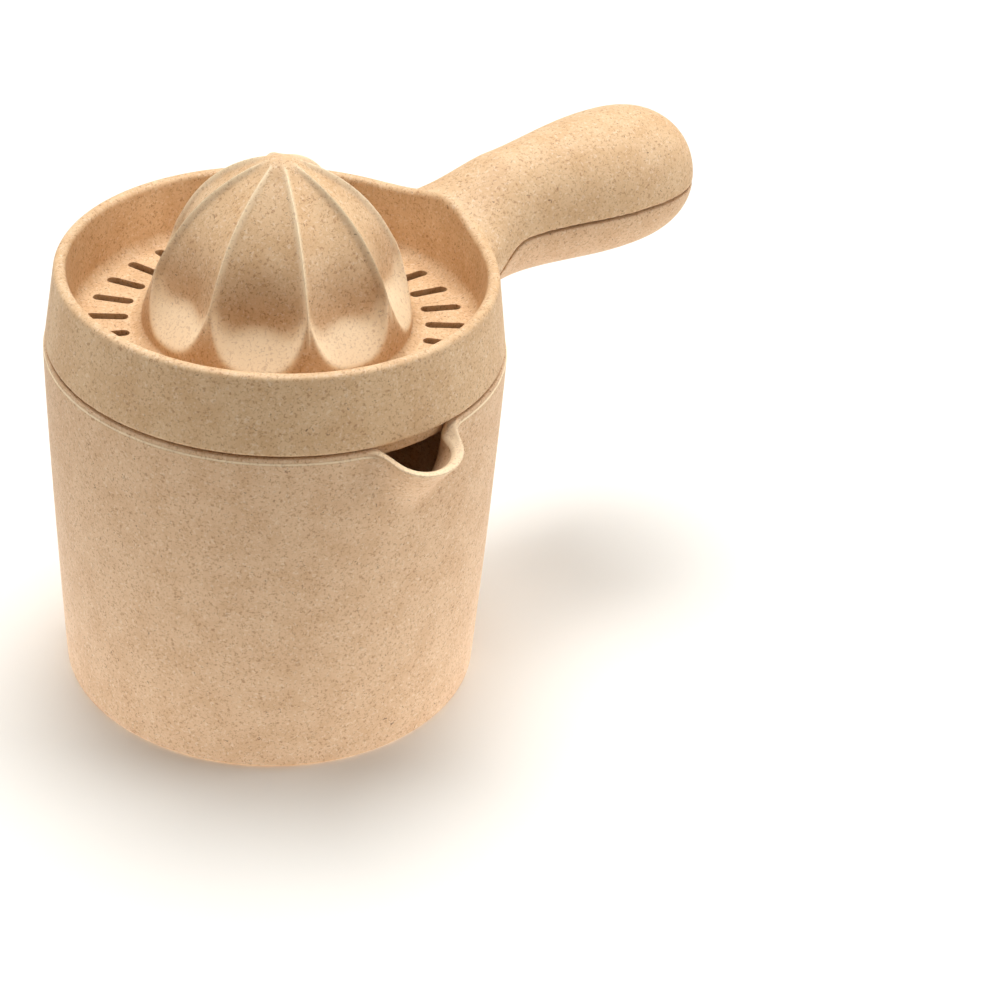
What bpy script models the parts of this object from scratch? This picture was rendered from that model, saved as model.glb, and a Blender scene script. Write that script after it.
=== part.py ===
# Citrus juicer: a jug with a pouring lip, and a fluted press top that lifts straight off it.
# Metres, Z up. The jug's axis is X = Y = 0 and its foot stands on Z = 0. The handle points along +X
# and the pouring lip along -Y, a quarter turn from it.

import math

import bmesh
import bpy
from mathutils import Matrix, Vector
from mathutils.geometry import interpolate_bezier

# Fit between the two mouldings
SEAM_GAP = 0.0003
ROOT_STEP = 0.0002
SKIRT_CLEARANCE = 0.0003

# Jug
JUG_HEIGHT = 0.0900
JUG_RIM_RADIUS = 0.0547
JUG_BASE_RADIUS = 0.0517
JUG_WALL = 0.0024
JUG_FLOOR = 0.0028
JUG_RIM_ROUND = 0.0014
JUG_FLOOR_FILLET = 0.0060
FOOT_HEIGHT = 0.0005
FOOT_INSET = 0.0016
FOOT_EDGE_ROUND = 0.0007

# Pouring lip: a leaning cone whose wide end is level with the jug's rim, cut so that its edge
# dips towards the nose
LIP_RADIUS = 0.0099
LIP_CENTRE = 0.0581
LIP_WALL = 0.0022
LIP_DEPTH = 0.0250
LIP_FOOT_RADIUS = 0.0055
LIP_LEAN = 0.68
LIP_DROP = 0.0004
LIP_DIP_START = 0.0534
LIP_DIP_ANGLE = math.radians(20)

# Press top: the ring-shaped wall of the pressing bowl
BOWL_HEIGHT = 0.0188
BOWL_BOTTOM_RADIUS = 0.0542
BOWL_RIM_RADIUS = 0.0518
BOWL_RIM_WIDTH = 0.0030
BOWL_RIM_ROUND = 0.0011
BOWL_WALL_DRAFT = 0.0006
BOWL_MOUTH_FLARE = 0.0003
BOWL_FLOOR_FILLET = 0.0030
SKIRT_DEPTH = 0.0040
SKIRT_WALL = 0.0018

# Strainer floor
STRAINER_HEIGHT = 0.0034
STRAINER_THICKNESS = 0.0020
SLOT_COUNT = 30
SLOT_WIDTH = 0.0023
SLOT_INNER_RADIUS = 0.0349
SLOT_OUTER_RADIUS = 0.0452

# Reamer: rib crests follow one curve, and each flute is scooped out between two ribs
REAMER_HEIGHT = 0.0432
REAMER_RADIUS = 0.0318
REAMER_CROWN_REACH = 0.0140
REAMER_CROWN_DROP = 0.0035
REAMER_FLANK_LEAN = 0.0008
REAMER_FLANK_REACH = 0.0260
REAMER_WALL = 0.0022
REAMER_FOOT_FILLET = 0.0022
FOOT_SINK = 0.0002
RIB_COUNT = 8
RIB_WIDTH = 0.0009
RIB_STAR_RADIUS = 0.0026
FLUTE_DEPTH = 0.0046
FLUTE_ROUNDNESS = 2.2
FLUTE_LEAST_SLOPE = 0.05
SCOOP_HEIGHT = 0.0125
SCOOP_ANGLE = math.radians(52)
SCOOP_HALF_WIDTH = 0.0105
SCOOP_CURVE_DEPTH = 0.0105

# Handle: both halves together, measured from the level parting line
PARTING_RISE = 0.0125
TONGUE_REACH = 0.0565
TONGUE_CORNER = 0.0090
HANDLE_WALL = 0.0023
HANDLE_START = 0.0460
HANDLE_NECK_REACH = 0.0690
HANDLE_BULB_REACH = 0.1010
HANDLE_TIP_REACH = 0.1285
HANDLE_TIP_BLUNTNESS = 2.7
ROOT_HALF_WIDTH = 0.0215
ROOT_RISE = 0.0092
ROOT_DROP = 0.0200
ROOT_FLANK_POWER = 1.5
NECK_HALF_WIDTH = 0.0138
NECK_RISE = 0.0169
NECK_DROP = 0.0151
NECK_FLANK_POWER = 2.0
BULB_HALF_WIDTH = 0.0179
BULB_RISE = 0.0193
BULB_DROP = 0.0163
BULB_FLANK_POWER = 2.05

# Facets
TURN_STEPS = 60
ARC_STEPS = 4
CORNER_STEPS = 7
HANDLE_SIDES = 28
HANDLE_STATIONS = 15
FLUTE_SIDES = 18
FLUTE_STATIONS = 9
SMOOTH_ANGLE = math.radians(32)

# Levels and radii that follow from the sizes above
BOWL_BOTTOM_Z = JUG_HEIGHT + SEAM_GAP
PARTING_HEIGHT = BOWL_BOTTOM_Z + PARTING_RISE
BOWL_RIM_Z = BOWL_BOTTOM_Z + BOWL_HEIGHT
STRAINER_Z = BOWL_BOTTOM_Z + STRAINER_HEIGHT
BOWL_INNER_RADIUS = BOWL_RIM_RADIUS - BOWL_RIM_WIDTH
BOWL_FOOT_RADIUS = BOWL_INNER_RADIUS - BOWL_WALL_DRAFT
JUG_MOUTH_RADIUS = JUG_RIM_RADIUS - JUG_WALL
SKIRT_RADIUS = JUG_MOUTH_RADIUS - SKIRT_CLEARANCE
RIB_PITCH = 2 * math.pi / RIB_COUNT


# Scene

def clear_scene():
    for obj in list(bpy.data.objects):
        bpy.data.objects.remove(obj, do_unlink=True)


def make_collection(name):
    collection = bpy.data.collections.new(name)
    bpy.context.scene.collection.children.link(collection)
    return collection


def add_object(name, mesh, collection):
    obj = bpy.data.objects.new(name, mesh)
    collection.objects.link(obj)
    return obj


def mark_as_cutter(obj):
    obj.hide_render = True
    obj.display_type = "WIRE"
    return obj


def make_plastic(name, colour, roughness):
    material = bpy.data.materials.new(name)
    material.use_nodes = True
    shader = material.node_tree.nodes["Principled BSDF"]
    shader.inputs["Base Color"].default_value = (*colour, 1.0)
    shader.inputs["Roughness"].default_value = roughness
    shader.inputs["Metallic"].default_value = 0.0
    return material


def evaluated_mesh(obj):
    depsgraph = bpy.context.evaluated_depsgraph_get()
    return bpy.data.meshes.new_from_object(obj.evaluated_get(depsgraph))


# Shapes

def arc(centre, radius, start, end, steps=ARC_STEPS):
    # Points (radius from the axis, height) of an arc; the angles are in degrees from +X.
    points = []
    for i in range(steps + 1):
        angle = math.radians(start + (end - start) * i / steps)
        points.append((centre[0] + radius * math.cos(angle), centre[1] + radius * math.sin(angle)))
    return points


def turned(name, profile, collection, steps=TURN_STEPS):
    # The profile runs down the outer side of the piece, and the Screw modifier turns it about Z.
    mesh = bpy.data.meshes.new(name)
    edges = [(i, i + 1) for i in range(len(profile) - 1)]
    if profile[0][0] > 0:
        edges.append((len(profile) - 1, 0))
    mesh.from_pydata([(radius, 0.0, height) for radius, height in profile], edges, [])
    obj = add_object(name, mesh, collection)
    screw = obj.modifiers.new("Turn", "SCREW")
    screw.steps = steps
    screw.render_steps = steps
    screw.use_merge_vertices = True
    screw.merge_threshold = 0.00001
    return obj


def lofted(name, rings, collection):
    # Rings of equal count joined in order, with both ends capped.
    bm = bmesh.new()
    loops = [[bm.verts.new(point) for point in ring] for ring in rings]
    count = len(loops[0])
    for first, second in zip(loops, loops[1:]):
        for i in range(count):
            j = (i + 1) % count
            bm.faces.new((first[i], first[j], second[j], second[i]))
    bm.faces.new(loops[0])
    bm.faces.new(loops[-1])
    bmesh.ops.recalc_face_normals(bm, faces=bm.faces)
    mesh = bpy.data.meshes.new(name)
    bm.to_mesh(mesh)
    bm.free()
    return add_object(name, mesh, collection)


def extruded_side_view(name, outline, half_thickness, collection):
    # A flat outline in X and Z, thickened equally to both sides of the handle's middle plane.
    curve = bpy.data.curves.new(name, "CURVE")
    curve.dimensions = "2D"
    curve.fill_mode = "BOTH"
    curve.extrude = half_thickness
    spline = curve.splines.new("POLY")
    spline.points.add(len(outline) - 1)
    for point, (x, z) in zip(spline.points, outline):
        point.co = (x, z, 0.0, 1.0)
    spline.use_cyclic_u = True
    flat = add_object(name + "_outline", curve, collection)
    mesh = evaluated_mesh(flat)
    bpy.data.objects.remove(flat)
    mesh.transform(Matrix.Rotation(math.pi / 2, 4, "X"))
    bm = bmesh.new()
    bm.from_mesh(mesh)
    bmesh.ops.remove_doubles(bm, verts=bm.verts, dist=0.000001)
    bmesh.ops.recalc_face_normals(bm, faces=bm.faces)
    bm.to_mesh(mesh)
    bm.free()
    return add_object(name, mesh, collection)


def cut(obj, cutter, operation="DIFFERENCE", solver="EXACT"):
    boolean = obj.modifiers.new(cutter.name, "BOOLEAN")
    boolean.operation = operation
    boolean.solver = solver
    boolean.object = cutter
    return boolean


def finish(obj, material):
    # The modifiers are settled into one mesh, shaded smooth between its real edges.
    mesh = evaluated_mesh(obj)
    obj.modifiers.clear()
    obj.data = mesh
    bm = bmesh.new()
    bm.from_mesh(mesh)
    bmesh.ops.remove_doubles(bm, verts=bm.verts, dist=0.000002)
    bmesh.ops.dissolve_degenerate(bm, edges=bm.edges, dist=0.000002)
    bm.to_mesh(mesh)
    bm.free()
    mesh.materials.clear()
    mesh.materials.append(material)
    mesh.shade_smooth()
    mesh.set_sharp_from_angle(angle=SMOOTH_ANGLE)


# Handle

def ease(start, end, share):
    share = min(max(share, 0.0), 1.0)
    return start + (end - start) * share * share * (3 - 2 * share)


def handle_size(x, root, neck, bulb):
    # A section size at reach x: it draws in from root to neck and swells again to the bulb.
    if x < HANDLE_NECK_REACH:
        share = (x - HANDLE_START) / (HANDLE_NECK_REACH - HANDLE_START)
        return neck + (root - neck) * (1 - share) ** 2
    return ease(neck, bulb, (x - HANDLE_NECK_REACH) / (HANDLE_BULB_REACH - HANDLE_NECK_REACH))


def handle_rise(x):
    # The top leaves the bowl's rim almost level and climbs in one sweep to the bulb.
    climb = ease(ROOT_RISE, NECK_RISE, (x - HANDLE_START) / (HANDLE_NECK_REACH - HANDLE_START))
    if x < HANDLE_NECK_REACH:
        return climb
    share = (x - HANDLE_NECK_REACH) / (HANDLE_BULB_REACH - HANDLE_NECK_REACH)
    return NECK_RISE + (BULB_RISE - NECK_RISE) * math.sin(0.5 * math.pi * min(share, 1.0))


def handle_section(x, wall, sides):
    # The upper half rises and the lower half drops from the parting line, where it is widest.
    half_width = handle_size(x, ROOT_HALF_WIDTH, NECK_HALF_WIDTH, BULB_HALF_WIDTH) - wall
    rise = handle_rise(x) - wall
    drop = handle_size(x, ROOT_DROP, NECK_DROP, BULB_DROP) - wall
    power = handle_size(x, ROOT_FLANK_POWER, NECK_FLANK_POWER, BULB_FLANK_POWER)
    tip = HANDLE_TIP_REACH - wall
    past_bulb = max(0.0, (x - HANDLE_BULB_REACH) / (tip - HANDLE_BULB_REACH))
    closing = math.sqrt(max(0.0, 1 - past_bulb ** HANDLE_TIP_BLUNTNESS))
    ring = []
    for i in range(sides):
        angle = 2 * math.pi * i / sides
        across = math.copysign(abs(math.cos(angle)) ** (2 / power), math.cos(angle))
        up = math.copysign(abs(math.sin(angle)) ** (2 / power), math.sin(angle))
        height = (rise if up > 0 else drop) * up * closing
        ring.append(Vector((x, half_width * across * closing, PARTING_HEIGHT + height)))
    return ring


def handle_body(name, start, wall, collection, sides=HANDLE_SIDES):
    # Stations lie closer together towards the rounded tip.
    rings = []
    tip = HANDLE_TIP_REACH - wall
    for i in range(HANDLE_STATIONS):
        share = math.sin(0.5 * math.pi * i / (HANDLE_STATIONS - 0.6))
        rings.append(handle_section(start + (tip - start) * share, wall, sides))
    return lofted(name, rings, collection)


def below_parting(name, shift, collection):
    # Everything that belongs to the jug: under the ring, and under the handle's parting line
    # outside the tongue's wall. The shift moves the parting surface into the press top, and the
    # root's level faces stand a small step back from the seam.
    seam = BOWL_BOTTOM_Z + ROOT_STEP if shift > 0 else JUG_HEIGHT - ROOT_STEP
    face = TONGUE_REACH - shift
    level = PARTING_HEIGHT + shift
    far = HANDLE_TIP_REACH * 1.2
    corner = TONGUE_CORNER + shift
    outline = [(-far, 0.0), (far, 0.0), (far, level)]
    outline += arc((face + corner, level - corner), corner, 90, 180, CORNER_STEPS)
    outline += [(face, seam), (-far, seam)]
    return extruded_side_view(name, outline, BULB_HALF_WIDTH * 3, collection)


# Jug

def jug_outer_profile():
    base = JUG_BASE_RADIUS
    edge = FOOT_EDGE_ROUND
    rim = JUG_RIM_ROUND
    profile = [(0.0, JUG_HEIGHT)]
    profile += arc((JUG_RIM_RADIUS - rim, JUG_HEIGHT - rim), rim, 90, 0, 3)
    profile += arc((base - edge, FOOT_HEIGHT + edge), edge, 0, -90, 3)
    profile += [(base - FOOT_INSET, FOOT_HEIGHT), (base - FOOT_INSET, 0.0), (0.0, 0.0)]
    return profile


def jug_cavity_profile():
    above = JUG_HEIGHT * 1.4
    slope = (JUG_RIM_RADIUS - JUG_BASE_RADIUS) / JUG_HEIGHT
    fillet = JUG_FLOOR_FILLET
    floor_radius = JUG_BASE_RADIUS - JUG_WALL + slope * JUG_FLOOR
    profile = [(0.0, above), (JUG_MOUTH_RADIUS, above), (JUG_MOUTH_RADIUS, JUG_HEIGHT)]
    profile += arc((floor_radius - fillet, JUG_FLOOR + fillet), fillet, 0, -90)
    profile += [(0.0, JUG_FLOOR)]
    return profile


def leaning_cone(name, radius, foot_radius, rise, collection):
    # Its level top circle is centred LIP_CENTRE out from the axis when the rise is nil.
    depth = LIP_DEPTH + rise
    growth = (LIP_RADIUS - LIP_FOOT_RADIUS) / LIP_DEPTH
    bm = bmesh.new()
    bmesh.ops.create_cone(bm, cap_ends=True, segments=32, radius1=foot_radius,
                          radius2=radius + growth * rise, depth=depth)
    lean = Matrix.Identity(4)
    lean[1][2] = -LIP_LEAN
    centre = Vector((0.0, -LIP_CENTRE, JUG_HEIGHT - LIP_DROP))
    middle = Vector((0.0, 0.0, (rise - LIP_DEPTH) / 2))
    bmesh.ops.transform(bm, matrix=Matrix.Translation(centre) @ lean @ Matrix.Translation(middle),
                        verts=bm.verts)
    mesh = bpy.data.meshes.new(name)
    bm.to_mesh(mesh)
    bm.free()
    return add_object(name, mesh, collection)


def above_lip_edge(collection):
    # A block whose sloping underside meets the rim's level at the wall and falls towards the nose.
    size = LIP_DEPTH * 2
    bm = bmesh.new()
    bmesh.ops.create_cube(bm, size=size)
    place = Matrix.Translation((0.0, -LIP_DIP_START, JUG_HEIGHT))
    tilt = Matrix.Rotation(LIP_DIP_ANGLE, 4, "X")
    bmesh.ops.transform(bm, matrix=place @ tilt @ Matrix.Translation((0.0, -size / 2, size / 2)),
                        verts=bm.verts)
    mesh = bpy.data.meshes.new("above_lip_edge")
    bm.to_mesh(mesh)
    bm.free()
    return add_object("above_lip_edge", mesh, collection)


def make_jug(collection, cutters):
    jug = turned("jug", jug_outer_profile(), collection)

    lip = mark_as_cutter(leaning_cone("lip_outside", LIP_RADIUS, LIP_FOOT_RADIUS, 0.0, cutters))
    cut(jug, lip, "UNION")
    cut(jug, mark_as_cutter(above_lip_edge(cutters)))

    lower_half = mark_as_cutter(handle_body("lower_half", HANDLE_START, 0.0, cutters))
    zone = mark_as_cutter(below_parting("jug_side_of_parting", -SEAM_GAP / 2, cutters))
    cut(lower_half, zone, "INTERSECT", "MANIFOLD")
    cut(jug, lower_half, "UNION")

    cavity = mark_as_cutter(turned("jug_cavity", jug_cavity_profile(), cutters))
    cut(jug, cavity)
    channel = mark_as_cutter(leaning_cone("lip_channel", LIP_RADIUS - LIP_WALL,
                                          LIP_FOOT_RADIUS - LIP_WALL, LIP_WALL, cutters))
    cut(jug, channel)
    hollow = mark_as_cutter(handle_body("lower_hollow", TONGUE_REACH + HANDLE_WALL,
                                        HANDLE_WALL, cutters, HANDLE_SIDES - 4))
    cut(jug, hollow)
    return jug


# Press top

def rib_curve():
    # The crest line of a rib from the reamer's tip down to the strainer.
    knots = [Vector((0.0, REAMER_HEIGHT)),
             Vector((REAMER_CROWN_REACH, REAMER_HEIGHT - REAMER_CROWN_DROP)),
             Vector((REAMER_RADIUS - REAMER_FLANK_LEAN, REAMER_FLANK_REACH)),
             Vector((REAMER_RADIUS, 0.0))]
    return interpolate_bezier(*knots, 33)


def rib_point(height):
    # Where the crest line passes the given height over the strainer: reach and outward normal.
    points = rib_curve()
    for upper, lower in zip(points, points[1:]):
        if lower.y <= height <= upper.y:
            share = (upper.y - height) / (upper.y - lower.y)
            along = (lower - upper).normalized()
            return upper.lerp(lower, share), Vector((-along.y, along.x))
    return points[0], Vector((0.0, 1.0))


def reamer_profile():
    # The dome that the ribs' crests lie on, with a soft foot that runs out into the strainer.
    foot = REAMER_FOOT_FILLET
    flank, _ = rib_point(foot)
    profile = [(p.x, STRAINER_Z + p.y) for p in rib_curve()[::3] if p.y > foot * 1.5]
    profile += arc((flank.x + foot, STRAINER_Z + foot - FOOT_SINK), foot, 180, 270)
    buried = STRAINER_Z - STRAINER_THICKNESS / 2
    profile += [(flank.x + foot, buried), (0.0, buried)]
    return profile


def reamer_hollow_profile():
    # The underside keeps one wall behind the flutes' deepest lines.
    under = STRAINER_Z - STRAINER_THICKNESS * 1.5
    profile = []
    for point in rib_curve()[::4]:
        crest, normal = rib_point(point.y)
        inner = crest - normal * (flute_depth(crest.x) + REAMER_WALL)
        if inner.x > RIB_STAR_RADIUS:
            profile.append((inner.x, STRAINER_Z + inner.y))
    profile.insert(0, (0.0, profile[0][1]))
    profile += [(profile[-1][0], under), (0.0, under)]
    return profile


def bowl_profile():
    # From the strainer's middle out to the wall, over the rim, down the outside, and back
    # underneath along the skirt and the strainer's underside.
    fillet = BOWL_FLOOR_FILLET
    rim = BOWL_RIM_ROUND
    profile = [(0.0, STRAINER_Z)]
    profile += arc((BOWL_FOOT_RADIUS - fillet, STRAINER_Z + fillet), fillet, -90, 0)
    profile += arc((BOWL_INNER_RADIUS + rim, BOWL_RIM_Z - rim), rim, 180, 90, 3)
    profile += arc((BOWL_RIM_RADIUS - rim, BOWL_RIM_Z - rim), rim, 90, 0, 3)
    profile += [(BOWL_BOTTOM_RADIUS, BOWL_BOTTOM_Z), (SKIRT_RADIUS, BOWL_BOTTOM_Z)]
    skirt_foot = BOWL_BOTTOM_Z - SKIRT_DEPTH
    profile += [(SKIRT_RADIUS, skirt_foot), (SKIRT_RADIUS - SKIRT_WALL, skirt_foot)]
    underside = STRAINER_Z - STRAINER_THICKNESS
    profile += [(SKIRT_RADIUS - SKIRT_WALL, underside), (0.0, underside)]
    return profile


def flute_depth(reach):
    # The flutes start at nothing by the tip and reach their full depth at the scoop.
    scoop, _ = rib_point(SCOOP_HEIGHT)
    return FLUTE_DEPTH * min(1.0, (max(reach, 0.0) / scoop.x) ** 1.2)


def flute_ring(bottom, normal, half_width, half_depth):
    # An ellipse that stands on the flute's deepest line, square to it.
    middle = bottom + normal * half_depth
    ring = []
    for i in range(FLUTE_SIDES):
        angle = 2 * math.pi * i / FLUTE_SIDES
        across = half_width * math.cos(angle)
        point = middle + normal * half_depth * math.sin(angle)
        ring.append(Vector((point.x, across, STRAINER_Z + point.y)))
    return ring


def flute_rings():
    half_pitch = RIB_PITCH / 2
    scoop, _ = rib_point(SCOOP_HEIGHT)
    rings = []
    for i in range(FLUTE_STATIONS):
        reach = RIB_STAR_RADIUS * 1.4 + (scoop.x - RIB_STAR_RADIUS * 1.4) * i / (FLUTE_STATIONS - 1)
        height = height_at_reach(reach)
        crest, normal = rib_point(height)
        depth = flute_depth(crest.x)
        turn_radius = crest.x / max(normal.x, FLUTE_LEAST_SLOPE)
        half_chord = crest.x * math.sin(half_pitch) - RIB_WIDTH / 2
        edge_height = depth - (turn_radius - math.sqrt(turn_radius ** 2 - half_chord ** 2))
        half_depth = edge_height * FLUTE_ROUNDNESS
        half_width = half_chord / math.sqrt(1 - (1 - 1 / FLUTE_ROUNDNESS) ** 2)
        bottom = crest - normal * depth
        if i == FLUTE_STATIONS - 1:
            outward = Vector((math.cos(SCOOP_ANGLE), -math.sin(SCOOP_ANGLE)))
            along = (Vector((normal.y, -normal.x)) + outward).normalized()
            normal = Vector((-along.y, along.x))
        rings.append(flute_ring(bottom, normal, half_width, half_depth))
    across = Vector((math.sin(SCOOP_ANGLE), math.cos(SCOOP_ANGLE)))
    for share in (0.45, 1.0, 1.6):
        run = (REAMER_RADIUS - bottom.x) / math.cos(SCOOP_ANGLE) * share
        width = half_width + (SCOOP_HALF_WIDTH - half_width) * min(share, 1.0)
        curve_depth = half_depth + (SCOOP_CURVE_DEPTH - half_depth) * min(share, 1.0)
        rings.append(flute_ring(bottom + outward * run, across, width, curve_depth))
    return rings


def height_at_reach(reach):
    points = rib_curve()
    for upper, lower in zip(points, points[1:]):
        if upper.x <= reach <= lower.x:
            return upper.y + (lower.y - upper.y) * (reach - upper.x) / (lower.x - upper.x)
    return 0.0


def make_reamer(cutters):
    reamer = mark_as_cutter(turned("reamer", reamer_profile(), cutters))
    first = None
    for i in range(RIB_COUNT):
        name = "flute_%d" % (i + 1)
        if first is None:
            first = mark_as_cutter(lofted(name, flute_rings(), cutters))
            flute = first
        else:
            flute = mark_as_cutter(add_object(name, first.data, cutters))
        flute.rotation_euler.z = RIB_PITCH * i
        cut(reamer, flute)
    return reamer


def make_slots(cutters):
    # Stadium slots all round the strainer, one of them in line with the handle.
    bm = bmesh.new()
    half_run = (SLOT_OUTER_RADIUS - SLOT_INNER_RADIUS - SLOT_WIDTH) / 2
    middle = (SLOT_OUTER_RADIUS + SLOT_INNER_RADIUS) / 2
    for i in range(SLOT_COUNT):
        made = bmesh.ops.create_cone(bm, cap_ends=True, segments=8, radius1=SLOT_WIDTH / 2,
                                     radius2=SLOT_WIDTH / 2, depth=STRAINER_THICKNESS * 3,
                                     matrix=Matrix.Rotation(math.pi / 8, 4, "Z"))
        for vert in made["verts"]:
            vert.co.x += math.copysign(half_run, vert.co.x) + middle
        turn = Matrix.Rotation(2 * math.pi * i / SLOT_COUNT, 4, "Z")
        bmesh.ops.transform(bm, matrix=turn, verts=made["verts"])
    mesh = bpy.data.meshes.new("slots")
    bm.to_mesh(mesh)
    bm.free()
    slots = add_object("slots", mesh, cutters)
    slots.location.z = STRAINER_Z - STRAINER_THICKNESS / 2
    return mark_as_cutter(slots)


def make_press_top(collection, cutters):
    top = turned("press_top", bowl_profile(), collection)
    cut(top, make_reamer(cutters), "UNION")
    cut(top, mark_as_cutter(turned("reamer_hollow", reamer_hollow_profile(), cutters)))
    cut(top, make_slots(cutters))

    upper_half = mark_as_cutter(handle_body("upper_half", HANDLE_START, 0.0, cutters))
    zone = mark_as_cutter(below_parting("under_press_top", SEAM_GAP / 2, cutters))
    cut(upper_half, zone)
    hollow = mark_as_cutter(handle_body("upper_hollow", TONGUE_REACH, HANDLE_WALL, cutters,
                                        HANDLE_SIDES - 4))
    cut(upper_half, hollow)
    # Low down the handle's root stops inside the ring's wall, clear of strainer and skirt.
    plug_radius = (BOWL_INNER_RADIUS + BOWL_BOTTOM_RADIUS) / 2
    plug_top = STRAINER_Z + BOWL_FLOOR_FILLET + BOWL_HEIGHT * 0.15
    plug = turned("root_plug", [(0.0, plug_top), (plug_radius, plug_top),
                                (plug_radius, 0.0), (0.0, 0.0)], cutters)
    cut(upper_half, mark_as_cutter(plug))
    cut(top, upper_half, "UNION")

    # Higher up the bowl's own wall runs through the root and leaves the arch over the rim.
    core_foot = plug_top - BOWL_HEIGHT * 0.05
    core_top = PARTING_HEIGHT + BULB_RISE * 2
    foot_radius = BOWL_FOOT_RADIUS - BOWL_MOUTH_FLARE
    opening = (BOWL_INNER_RADIUS + BOWL_MOUTH_FLARE - foot_radius) / (BOWL_RIM_Z - core_foot)
    top_radius = foot_radius + opening * (core_top - core_foot)
    inner = REAMER_RADIUS + REAMER_FOOT_FILLET
    core = turned("bowl_core", [(inner, core_top), (top_radius, core_top),
                                (foot_radius, core_foot), (inner, core_foot)], cutters)
    cut(top, mark_as_cutter(core))
    return top


def main():
    clear_scene()
    juicer = make_collection("Citrus juicer")
    cutters = make_collection("Cutters")
    jug = make_jug(juicer, cutters)
    top = make_press_top(juicer, cutters)
    finish(jug, make_plastic("Jug fibre plastic", (0.70, 0.48, 0.29), 0.62))
    finish(top, make_plastic("Press top fibre plastic", (0.72, 0.50, 0.30), 0.60))


main()
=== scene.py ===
# Citrus juicer: fine surfaces and looks for its two fibre filled mouldings, a jug and a press top.
# Metres, Z up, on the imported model's frame: the handle points along +X, the pouring lip along -Y.
import math

import bmesh
import bpy
import numpy as np
from mathutils import Matrix, Vector


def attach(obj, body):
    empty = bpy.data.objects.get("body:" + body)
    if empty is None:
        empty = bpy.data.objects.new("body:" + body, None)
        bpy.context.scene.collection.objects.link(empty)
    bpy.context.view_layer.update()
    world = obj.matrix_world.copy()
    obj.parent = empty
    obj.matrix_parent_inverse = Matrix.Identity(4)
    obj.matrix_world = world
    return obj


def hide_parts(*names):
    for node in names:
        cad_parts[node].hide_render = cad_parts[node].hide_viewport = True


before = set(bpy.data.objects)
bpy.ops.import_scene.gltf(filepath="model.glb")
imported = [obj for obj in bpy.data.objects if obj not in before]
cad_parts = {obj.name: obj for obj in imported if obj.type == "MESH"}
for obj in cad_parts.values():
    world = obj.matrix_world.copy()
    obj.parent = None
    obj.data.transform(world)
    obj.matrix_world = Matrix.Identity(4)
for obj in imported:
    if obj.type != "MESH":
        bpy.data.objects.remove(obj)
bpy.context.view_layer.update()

scene = bpy.context.scene
mm = 0.001


# Small helpers

def hexColour(text):
    # sRGB hex to the linear values that Blender's sockets take
    parts = [int(text[i:i + 2], 16) / 255 for i in (1, 3, 5)]
    return [c / 12.92 if c <= 0.04045 else ((c + 0.055) / 1.055) ** 2.4 for c in parts] + [1.0]


def addNode(tree, kind, settings=None, links=None):
    # settings: attribute or input name -> value; links: input name -> output socket
    node = tree.nodes.new(kind)
    for key, value in (settings or {}).items():
        if isinstance(key, str) and hasattr(node, key):
            setattr(node, key, value)
        else:
            node.inputs[key].default_value = value
    for key, source in (links or {}).items():
        tree.links.new(source, node.inputs[key])
    return node


def newPiece(name, mesh):
    obj = bpy.data.objects.new(name, mesh)
    scene.collection.objects.link(obj)
    return obj


def meshFrom(name, points, faces):
    mesh = bpy.data.meshes.new(name)
    mesh.from_pydata([tuple(p) for p in points], [], faces)
    bm = bmesh.new()
    bm.from_mesh(mesh)
    bmesh.ops.remove_doubles(bm, verts=bm.verts, dist=1e-7)
    bmesh.ops.recalc_face_normals(bm, faces=bm.faces)
    bm.to_mesh(mesh)
    bm.free()
    return mesh


def gridFaces(rows, columns, wrap):
    # quads of a grid of points, row by row; wrap closes each row into a ring
    faces = []
    for i in range(rows - 1):
        for j in range(columns if wrap else columns - 1):
            k = (j + 1) % columns
            faces.append((i * columns + j, i * columns + k, (i + 1) * columns + k, (i + 1) * columns + j))
    return faces


def prism(name, ends):
    # the solid between two outlines that have the same number of points
    count = len(ends[0])
    faces = [tuple(range(count))[::-1], tuple(range(count, 2 * count))]
    faces += [(i, (i + 1) % count, count + (i + 1) % count, count + i) for i in range(count)]
    return newPiece(name, meshFrom(name, ends[0] + ends[1], faces))


def settle(obj):
    # the modifiers' result becomes the object's own mesh
    depsgraph = bpy.context.evaluated_depsgraph_get()
    mesh = bpy.data.meshes.new_from_object(obj.evaluated_get(depsgraph))
    obj.modifiers.clear()
    obj.data = mesh
    return obj


def combine(obj, other, operation, solver="EXACT"):
    cut = obj.modifiers.new("cut", "BOOLEAN")
    cut.operation = operation
    cut.solver = solver
    cut.object = other
    settle(obj)
    bpy.data.objects.remove(other)
    return obj


def shadeSmooth(obj, degrees):
    obj.data.shade_smooth()
    obj.data.set_sharp_from_angle(angle=math.radians(degrees))


def arc(x, z, radius, start, end, steps=10):
    # points on a quarter or half round, with its angles in degrees
    turn = [math.radians(start + (end - start) * i / steps) for i in range(steps + 1)]
    return [(x + radius * math.cos(t), z + radius * math.sin(t)) for t in turn]


def turned(name, profile, steps):
    # a closed profile of (radius, height) points swept round Z
    points = []
    count = len(profile)
    for radius, height in profile:
        for j in range(steps):
            t = 2 * math.pi * j / steps
            points.append((radius * math.cos(t), radius * math.sin(t), height))
    faces = gridFaces(count, steps, True)
    last = (count - 1) * steps
    faces += [(last + j, last + (j + 1) % steps, (j + 1) % steps, j) for j in range(steps)]
    return newPiece(name, meshFrom(name, points, faces))


def roundCutter(name, radius, low, high, steps):
    # a thick washer round Z, used to cut along a round wall
    axisHole = 10 * mm
    return turned(name, [(axisHole, low), (axisHole, high), (radius, high), (radius, low)], steps)


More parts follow.
